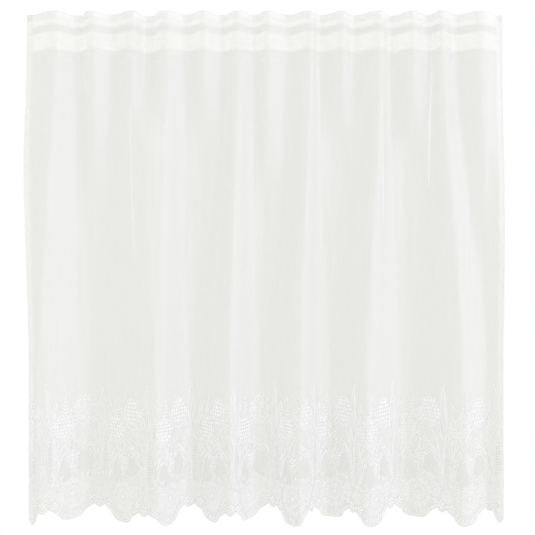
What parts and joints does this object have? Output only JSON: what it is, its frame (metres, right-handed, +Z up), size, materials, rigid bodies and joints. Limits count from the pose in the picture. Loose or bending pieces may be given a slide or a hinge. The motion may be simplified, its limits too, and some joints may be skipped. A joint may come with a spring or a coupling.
{
  "type": "lace curtain",
  "caption": "Hung sheer net curtain with a gathered heading, soft uneven folds and a scalloped flower border along its lower edge.",
  "frame": {"origin": "On the top edge near its middle, where the cloth crosses the middle plane of its folds.", "axes": "+X to the viewer's right along the curtain, +Y away from the viewer through the cloth, +Z up."},
  "size_m": [1.3688, 0.12, 1.45],
  "materials": {
    "sheer": "matt sheer voile, off-white",
    "tape": "matt woven tape, white",
    "lace": "matt embroidery thread, white"
  },
  "bodies": {
    "root": {"cloth": "sheer", "heading_tape_upper": "tape", "heading_tape_lower": "tape"}
  },
  "joints": []
}
